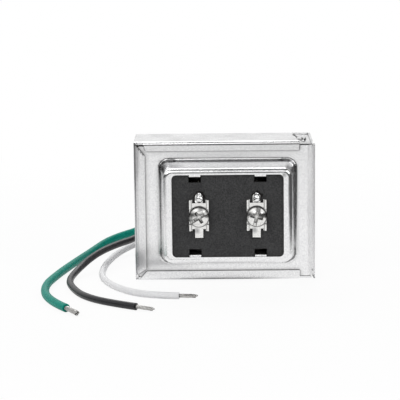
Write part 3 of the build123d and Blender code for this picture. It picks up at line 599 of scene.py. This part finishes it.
finishes = {
    "case_steel": platedSheet(
        "caseSteel", (0.79, 0.79, 0.8), (0.96, 0.96, 0.96), 0.2, 0.27,
        reach=0.4, drawn=0.04, zones=caseShadeMarks,
    ),
    "face_steel": platedSheet(
        "faceSteel", (0.8, 0.8, 0.81), (0.98, 0.98, 0.98), 0.15, 0.21,
        reach=2.0, clear=0.96, drawn=0.04, zones=faceShadeMarks,
    ),
    "terminal_nickel": platedSheet(
        "terminalNickel", (0.8, 0.79, 0.77), (0.95, 0.95, 0.94), 0.16, 0.26, zones=plateMarks
    ),
    "screw_nickel": platedSheet(
        "screwNickel", (0.7, 0.69, 0.67), (0.94, 0.94, 0.93), 0.14, 0.26,
        creaseShadeShare=0.9, reach=1.0, clear=0.88, zones=screwShadeMarks,
    ),
    "solder": platedSheet("solder", (0.75, 0.75, 0.75), (0.95, 0.95, 0.95), 0.12, 0.22),
    "hub_zinc": platedSheet("hubZinc", (0.58, 0.59, 0.61), (0.74, 0.75, 0.76), 0.3, 0.48),
    "nut_zinc": platedSheet("nutZinc", (0.55, 0.56, 0.58), (0.7, 0.71, 0.73), 0.34, 0.52),
    "ground_tin": platedSheet("groundTin", (0.6, 0.59, 0.57), (0.74, 0.73, 0.71), 0.3, 0.45),
    "tinned_strand": platedSheet(
        "tinnedStrand", (0.42, 0.41, 0.4), (0.72, 0.71, 0.69), 0.22, 0.36, creaseShadeShare=1.0
    ),
    "lamination": platedSheet("lamination", (0.1, 0.1, 0.11), (0.2, 0.2, 0.2), 0.45, 0.6),
    "primary_copper": platedSheet("primaryCopper", (0.45, 0.16, 0.06), (0.62, 0.26, 0.1), 0.3, 0.45),
    "secondary_copper": platedSheet("secondaryCopper", (0.5, 0.2, 0.08), (0.66, 0.3, 0.12), 0.3, 0.45),
    "fibre_board": moulded(
        "fibreBoard", (0.006, 0.006, 0.007), (0.056, 0.056, 0.057), 0.7, 0.85,
        grain=2000.0, zones=fluxMarks,
    ),
    "green_vinyl": moulded(
        "greenVinyl", (0.0, 0.21, 0.16), (0.003, 0.27, 0.205), 0.4, 0.5, grain=900.0, shine=0.15
    ),
    "black_vinyl": moulded(
        "blackVinyl", (0.012, 0.012, 0.014), (0.02, 0.02, 0.023), 0.28, 0.4, grain=900.0, shine=0.35
    ),
    "white_vinyl": moulded(
        "whiteVinyl", (0.76, 0.76, 0.77), (0.82, 0.82, 0.83), 0.4, 0.5, grain=900.0, shine=0.25
    ),
    # black nylon former, kept this dark partly as painted shade so that the slots in the board read dark
    "former_nylon": moulded("formerNylonShadeBlack", (0.01, 0.01, 0.01), (0.018, 0.018, 0.018), 0.55, 0.7),
    "barrier_film": moulded("barrierFilm", (0.55, 0.38, 0.05), (0.65, 0.45, 0.07), 0.2, 0.3),
    "coil_tape": moulded("coilTape", (0.02, 0.018, 0.015), (0.035, 0.03, 0.025), 0.3, 0.4),
    "insulating_paper": moulded("insulatingPaper", (0.02, 0.02, 0.022), (0.03, 0.03, 0.032), 0.7, 0.85),
    "secondary_sleeve": moulded("secondarySleeve", (0.015, 0.014, 0.012), (0.025, 0.022, 0.018), 0.5, 0.65),
    "cutout_case": moulded("cutoutCase", (0.03, 0.03, 0.03), (0.05, 0.05, 0.05), 0.35, 0.5),
    "splice_nylon": moulded("spliceNylon", (0.6, 0.6, 0.56), (0.7, 0.7, 0.66), 0.4, 0.55),
    "bushing_black": moulded("bushingBlack", (0.012, 0.012, 0.013), (0.022, 0.022, 0.023), 0.5, 0.65),
}
for part in frame["record"]["subparts"]:
    mesh = nodes[part["node"]].data
    mesh.materials.clear()
    mesh.materials.append(finishes[part["material_slot"]])
print("finishes made:", len(finishes))


def linkPiece(obj, slot):
    bpy.context.scene.collection.objects.link(obj)
    obj.data.materials.append(finishes[slot])
    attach(obj, "root")


# solder on the upper tongues: drops that run together

solderPlan = {
    "lump": 0.16,  # how far the surface goes up and down, as a share of the radius
    "lumpScale": 1.6,
    "lumpShift": 900,  # gives each drop lumps of its own
    "drops": {
        "left": [
            {"centre": (-8.9, -24.7, 33.15), "half": (0.95, 0.6, 0.85)},
            {"centre": (-8.95, -24.75, 31.6), "half": (1.2, 0.65, 1.25)},
        ],
        "right": [
            {"centre": (11.15, -24.7, 33.1), "half": (0.9, 0.6, 0.85)},
            {"centre": (11.2, -24.75, 31.55), "half": (1.2, 0.65, 1.25)},
        ],
    },
}


def makeSolder(name, drops, plan):
    build = bmesh.new()
    for drop in drops:
        centre = Vector(drop["centre"]) * mm
        ball = bmesh.ops.create_icosphere(build, subdivisions=4, radius=1.0)
        for vert in ball["verts"]:
            way = vert.co.copy()
            lumps = noise.noise(way * plan["lumpScale"] + centre * plan["lumpShift"])
            size = mm * (1.0 + plan["lump"] * lumps)
            vert.co = centre + Vector(way[i] * drop["half"][i] * size for i in range(3))
    for face in build.faces:
        face.smooth = True
    mesh = bpy.data.meshes.new(name)
    build.to_mesh(mesh)
    build.free()
    return bpy.data.objects.new(name, mesh)


for side, drops in solderPlan["drops"].items():
    solder = makeSolder(side + "Solder", drops, solderPlan)
    linkPiece(solder, "solder")
    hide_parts("solder_joint_" + side)
print("solder run")


# free leads: the same listed points as the solids' routes, in millimetres

leads = {
    "green": {
        "diameter": 2.9,
        "length": 183.0,
        "points": [
            (6.0, 26.775, 28.5),
            (6.0, 37.5, 28.5),
            (-1.0, 50.0, 24.2),
            (-15.5, 54.0, 15.0),
            (-31.0, 49.0, 7.3),
            (-44.5, 42.0, 4.6),
            (-51.5, 30.0, 1.7),
            (-56.0, 13.0, 1.5),
            (-60.5, -7.0, 1.5),
            (-64.0, -28.5, 1.5),
            (-60.5, -49.5, 1.5),
            (-53.3, -61.0, 1.5),
        ],
        "tip": (-48.8, -67.3, 1.0),
        "strands": 19,
        "bundle": 1.35,
    },
    "black": {
        "diameter": 2.5,
        "length": 160.0,
        "points": [
            (-4.0, 26.775, 25.0),
            (-4.0, 36.5, 25.0),
            (-8.5, 46.5, 21.9),
            (-18.5, 47.5, 16.2),
            (-27.5, 37.5, 10.4),
            (-34.0, 25.5, 7.8),
            (-41.0, 14.5, 7.7),
            (-48.0, 5.0, 6.1),
            (-54.0, -4.5, 2.2),
            (-56.0, -18.0, 1.3),
            (-53.5, -30.5, 1.3),
            (-49.0, -42.5, 1.3),
            (-40.5, -52.3, 1.3),
            (-30.0, -59.0, 1.3),
        ],
        "tip": (-23.9, -60.8, 0.8),
        "strands": 16,
        "bundle": 1.0,
    },
    "white": {
        "diameter": 2.4,
        "length": 152.5,
        "points": [
            (1.0, 26.775, 20.5),
            (1.0, 36.5, 20.5),
            (-5.5, 46.0, 16.2),
            (-17.5, 47.5, 10.0),
            (-30.0, 41.5, 4.8),
            (-39.5, 32.0, 2.1),
            (-43.5, 18.5, 1.25),
            (-45.0, 2.0, 1.25),
            (-44.4, -14.5, 1.25),
            (-37.8, -31.0, 1.25),
            (-27.0, -42.0, 1.25),
            (-16.0, -43.0, 1.25),
        ],
        "tip": (-9.8, -41.8, 0.8),
        "strands": 16,
        "bundle": 1.0,
    },
}


def makeLead(name, points, radius):
    curve = bpy.data.curves.new(name, "CURVE")
    curve.dimensions = "3D"
    curve.resolution_u = 12
    curve.bevel_depth = radius
    curve.bevel_resolution = 8
    curve.use_fill_caps = True
    spline = curve.splines.new("NURBS")
    spline.points.add(len(points) - 1)
    for knot, point in zip(spline.points, points):
        knot.co = (*point, 1)
    spline.order_u = 3
    spline.use_endpoint_u = True
    return bpy.data.objects.new(name, curve)


def makeWires(name, lines, radius, sides, tipShare):
    # round wires along lines of points, all in one mesh
    build = bmesh.new()
    for line in lines:
        rings = []
        side = None
        for i, point in enumerate(line):
            ahead = line[min(i + 1, len(line) - 1)]
            behind = line[max(i - 1, 0)]
            run = (ahead - behind).normalized()
            if side is None:
                side = run.orthogonal().normalized()
            side = (side - run * side.dot(run)).normalized()
            other = run.cross(side)
            share = tipShare if i == len(line) - 1 else 1.0
            turns = [2 * pi * k / sides for k in range(sides)]
            rings.append([
                build.verts.new(point + (side * cos(turn) + other * sin(turn)) * radius * share)
                for turn in turns
            ])
        for first, second in zip(rings, rings[1:]):
            for k in range(sides):
                build.faces.new((first[k], first[(k + 1) % sides], second[(k + 1) % sides], second[k]))
        build.faces.new(reversed(rings[0]))
        build.faces.new(rings[-1])
    for face in build.faces:
        face.smooth = len(face.verts) == 4
    mesh = bpy.data.meshes.new(name)
    build.to_mesh(mesh)
    build.free()
    return bpy.data.objects.new(name, mesh)


def bezierPoint(a, b, c, t):
    return a * (1 - t) ** 2 + b * 2 * t * (1 - t) + c * t ** 2


strandPlan = {
    "wire": 0.165,  # radius of one wire in millimetres
    "innerCount": 6,
    "innerRing": 0.3,
    "outerRing": 0.6,
    "outerTurn": 0.2,
    "bend": 0.45,  # share of the way at which the bundle starts to turn to its tip
    "twist": 5.5,
    "flatten": 0.85,  # height of the bundle as a share of its width
    "fan": 0.12,
    "shorter": 0.09,  # how far single wires fall short of the tip or pass it
    "longer": 0.03,
    "clearance": 0.05,  # from the floor
    "stations": 15,
    "sides": 7,
    "tipShare": 0.75,  # thickness of a wire's end
}


def makeStrands(name, lead, plan):
    # a lightly twisted bundle that fans out towards its tips
    last = Vector(lead["points"][-1]) * mm
    run = (last - Vector(lead["points"][-2]) * mm).normalized()
    tip = Vector(lead["tip"]) * mm
    middle = last + run * (tip - last).length * plan["bend"]
    outerCount = lead["strands"] - 1 - plan["innerCount"]
    wire = plan["wire"] * mm
    lines = []
    for k in range(lead["strands"]):
        if k == 0:
            angle, out = 0.0, 0.0
        elif k <= plan["innerCount"]:
            angle, out = 2 * pi * k / plan["innerCount"], plan["innerRing"] * mm
        else:
            angle, out = 2 * pi * k / outerCount + plan["outerTurn"], plan["outerRing"] * mm
        reach = 1.0 - plan["shorter"] * abs(sin(k * 2.3)) + plan["longer"] * cos(k * 5.1)
        line = []
        for i in range(plan["stations"]):
            t = i / (plan["stations"] - 1) * reach
            point = bezierPoint(last, middle, tip, t)
            along = (bezierPoint(last, middle, tip, min(t + 0.02, 1.02)) - point).normalized()
            side = along.cross(Vector((0, 0, 1))).normalized()
            lift = side.cross(along)
            turn = angle + plan["twist"] * t
            fan = lead["bundle"] * (1.0 + plan["fan"] * t * t * sin(k * 1.7))
            off = (side * cos(turn) + lift * sin(turn) * plan["flatten"]) * out * fan
            place = point + off
            place.z = max(place.z, wire + plan["clearance"] * mm)
            line.append(place)
        lines.append(line)
    return makeWires(name, lines, wire, plan["sides"], plan["tipShare"])


for colour, lead in leads.items():
    route = [Vector(p) * mm for p in lead["points"]]
    radius = lead["diameter"] / 2 * mm
    tube = makeLead(colour + "Lead", route, radius)
    linkPiece(tube, colour + "_vinyl")
    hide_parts(colour + "_lead")
    strands = makeStrands(colour + "Strands", lead, strandPlan)
    linkPiece(strands, "tinned_strand")
    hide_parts(colour + "_strands")
print("leads laid")


# studio: pale floor, soft lamps, pale surroundings with a dimmer room in front

studio = {
    "floor": {"paper": 0.84, "beyond": 0.05, "reach": 1.6, "rough": 0.9, "shine": 0.2},
    "floorWhite": {"near": 0.92, "nearTo": 0.1, "farFrom": 0.3},
    "floorGloss": [(0.015, 0.1), (0.03, 0.9), (0.3, 0.3)],
    "paper": {"left": -0.2, "right": 0.09, "front": -0.9, "back": 0.6, "soft": 0.006},
    "strength": 1.25,
    "front": [
        (0.0, 0.04), (0.56, 0.04), (0.62, 0.06), (0.665, 0.85), (0.83, 0.92), (0.885, 0.2), (1.0, 0.12)
    ],
    "back": [
        (0.0, 0.4), (0.5, 0.56), (0.62, 0.56), (0.7, 0.9), (0.9, 0.9), (0.945, 0.2), (1.0, 0.12)
    ],
    "backFrom": 0.4,
    "darkSide": {"from": 0.05, "to": 0.55, "share": 0.3},
    "lampTarget": (0, 0, 0.025),
    "lamps": [
        {"name": "keyLamp", "place": (-0.5, -0.8, 0.9), "size": 0.9, "power": 5.0},
        {"name": "fillLamp", "place": (0.75, -0.65, 0.6), "size": 0.7, "power": 3.5},
        {"name": "rearLamp", "place": (0.0, 0.75, 0.9), "size": 0.7, "power": 4.0},
    ],
}


def lookAt(obj, target):
    obj.rotation_euler = (target - obj.location).to_track_quat("-Z", "Y").to_euler()


def stripMask(tree, source, low, high, soft):
    # one between low and high, nothing outside them
    rise = addNode(tree, "MapRange", From_Min=low - soft, From_Max=low + soft)
    fall = addNode(tree, "MapRange", From_Min=high + soft, From_Max=high - soft)
    both = addNode(tree, "Math", {"operation": "MULTIPLY"})
    tree.links.new(source, rise.inputs["Value"])
    tree.links.new(source, fall.inputs["Value"])
    tree.links.new(rise.outputs["Result"], both.inputs[0])
    tree.links.new(fall.outputs["Result"], both.inputs[1])
    return both.outputs["Value"]


def greyRamp(tree, source, stops):
    ramp = addNode(tree, "ValToRGB")
    marks = ramp.color_ramp.elements
    while len(marks) < len(stops):
        marks.new(0.5)
    for mark, (place, value) in zip(marks, stops):
        mark.position = place
        mark.color = (value, value, value, 1)
    tree.links.new(source, ramp.inputs["Fac"])
    return ramp.outputs["Color"]


def makeFloor(plan):
    # a sheet of pale paper on a dark table, plain white where the camera looks past the object
    mesh = bpy.data.meshes.new("floor")
    reach = plan["floor"]["reach"]
    corners = [(-reach, -reach, 0), (reach, -reach, 0), (reach, reach, 0), (-reach, reach, 0)]
    mesh.from_pydata(corners, [], [(0, 1, 2, 3)])
    floor = bpy.data.objects.new("floor", mesh)
    bpy.context.scene.collection.objects.link(floor)
    material, tree, shader = newMaterial("paleFloor")
    link = tree.links.new
    paper = plan["paper"]
    place = addNode(tree, "NewGeometry")
    parts = addNode(tree, "SeparateXYZ")
    link(place.outputs["Position"], parts.inputs["Vector"])
    across = stripMask(tree, parts.outputs["X"], paper["left"], paper["right"], paper["soft"])
    along = stripMask(tree, parts.outputs["Y"], paper["front"], paper["back"], paper["soft"])
    sheet = addNode(tree, "Math", {"operation": "MULTIPLY"})
    link(across, sheet.inputs[0])
    link(along, sheet.inputs[1])
    path = addNode(tree, "LightPath")
    shade = addNode(tree, "Math", {"operation": "MAXIMUM"})
    link(sheet.outputs["Value"], shade.inputs[0])
    link(path.outputs["Is Camera Ray"], shade.inputs[1])
    beyond = (plan["floor"]["beyond"],) * 3
    colour = rampBetween(tree, shade.outputs["Value"], beyond, (plan["floor"]["paper"],) * 3, 0.0, 1.0)
    link(colour, shader.inputs["Base Color"])
    shader.inputs["Roughness"].default_value = plan["floor"]["rough"]
    shader.inputs["Specular IOR Level"].default_value = plan["floor"]["shine"]
    white = addNode(tree, "Emission", Color=(1, 1, 1, 1), Strength=1.0)
    far = addNode(tree, "VectorMath", {"operation": "LENGTH"})
    link(place.outputs["Position"], far.inputs[0])
    shares = plan["floorWhite"]
    seen = addNode(
        tree, "MapRange", {"interpolation_type": "SMOOTHSTEP"},
        From_Min=shares["nearTo"], From_Max=shares["farFrom"], To_Min=shares["near"],
    )
    link(far.outputs["Value"], seen.inputs["Value"])
    shown = addNode(tree, "Math", {"operation": "MULTIPLY"})
    link(path.outputs["Is Camera Ray"], shown.inputs[0])
    link(seen.outputs["Result"], shown.inputs[1])
    mirrored = greyRamp(tree, far.outputs["Value"], plan["floorGloss"])
    gloss = addNode(tree, "Math", {"operation": "MULTIPLY"})
    link(mirrored, gloss.inputs[1])
    link(sheet.outputs["Value"], gloss.inputs[0])
    share = addNode(tree, "Math", {"operation": "MULTIPLY_ADD"})
    link(path.outputs["Is Glossy Ray"], share.inputs[0])
    link(gloss.outputs["Value"], share.inputs[1])
    link(shown.outputs["Value"], share.inputs[2])
    mix = addNode(tree, "MixShader")
    link(share.outputs["Value"], mix.inputs["Fac"])
    link(shader.outputs["BSDF"], mix.inputs[1])
    link(white.outputs["Emission"], mix.inputs[2])
    link(mix.outputs["Shader"], tree.nodes["Material Output"].inputs["Surface"])
    mesh.materials.append(material)


def makeRoom(plan):
    # the light of the room by height, dim low in front and straight above
    world = bpy.data.worlds.new("room")
    bpy.context.scene.world = world
    world.use_nodes = True
    tree = world.node_tree
    link = tree.links.new
    light = tree.nodes["Background"]
    light.inputs["Strength"].default_value = plan["strength"]
    way = addNode(tree, "TexCoord")
    parts = addNode(tree, "SeparateXYZ")
    height = addNode(tree, "MapRange", From_Min=-1.0, From_Max=1.0)
    link(way.outputs["Generated"], parts.inputs["Vector"])
    link(parts.outputs["Z"], height.inputs["Value"])
    front = greyRamp(tree, height.outputs["Result"], plan["front"])
    back = greyRamp(tree, height.outputs["Result"], plan["back"])
    behind = addNode(tree, "MapRange", From_Max=plan["backFrom"])
    blend = addNode(tree, "Mix", {"data_type": "RGBA"})
    link(parts.outputs["Y"], behind.inputs["Value"])
    link(behind.outputs["Result"], blend.inputs["Factor"])
    link(front, blend.inputs["A"])
    link(back, blend.inputs["B"])
    dark = plan["darkSide"]
    side = addNode(
        tree, "MapRange", From_Min=dark["from"], From_Max=dark["to"], To_Min=1.0, To_Max=dark["share"]
    )
    shade = addNode(tree, "Mix", {"data_type": "RGBA", "blend_type": "MULTIPLY"}, Factor=1.0)
    link(parts.outputs["X"], side.inputs["Value"])
    link(blend.outputs["Result"], shade.inputs["A"])
    link(side.outputs["Result"], shade.inputs["B"])
    link(shade.outputs["Result"], light.inputs["Color"])
    shown = addNode(tree, "Background", Color=(1, 1, 1, 1), Strength=1.0)
    path = addNode(tree, "LightPath")
    mix = addNode(tree, "MixShader")
    link(path.outputs["Is Camera Ray"], mix.inputs["Fac"])
    link(light.outputs["Background"], mix.inputs[1])
    link(shown.outputs["Background"], mix.inputs[2])
    link(mix.outputs["Shader"], tree.nodes["World Output"].inputs["Surface"])


def makeLamp(plan, target):
    data = bpy.data.lights.new(plan["name"], "AREA")
    data.shape = "SQUARE"
    data.size = plan["size"]
    data.energy = plan["power"]
    lamp = bpy.data.objects.new(plan["name"], data)
    lamp.location = plan["place"]
    lookAt(lamp, Vector(target))
    bpy.context.scene.collection.objects.link(lamp)


makeFloor(studio)
makeRoom(studio)
for lamp in studio["lamps"]:
    makeLamp(lamp, studio["lampTarget"])
bpy.context.scene.view_settings.view_transform = "Standard"
print("studio lit")
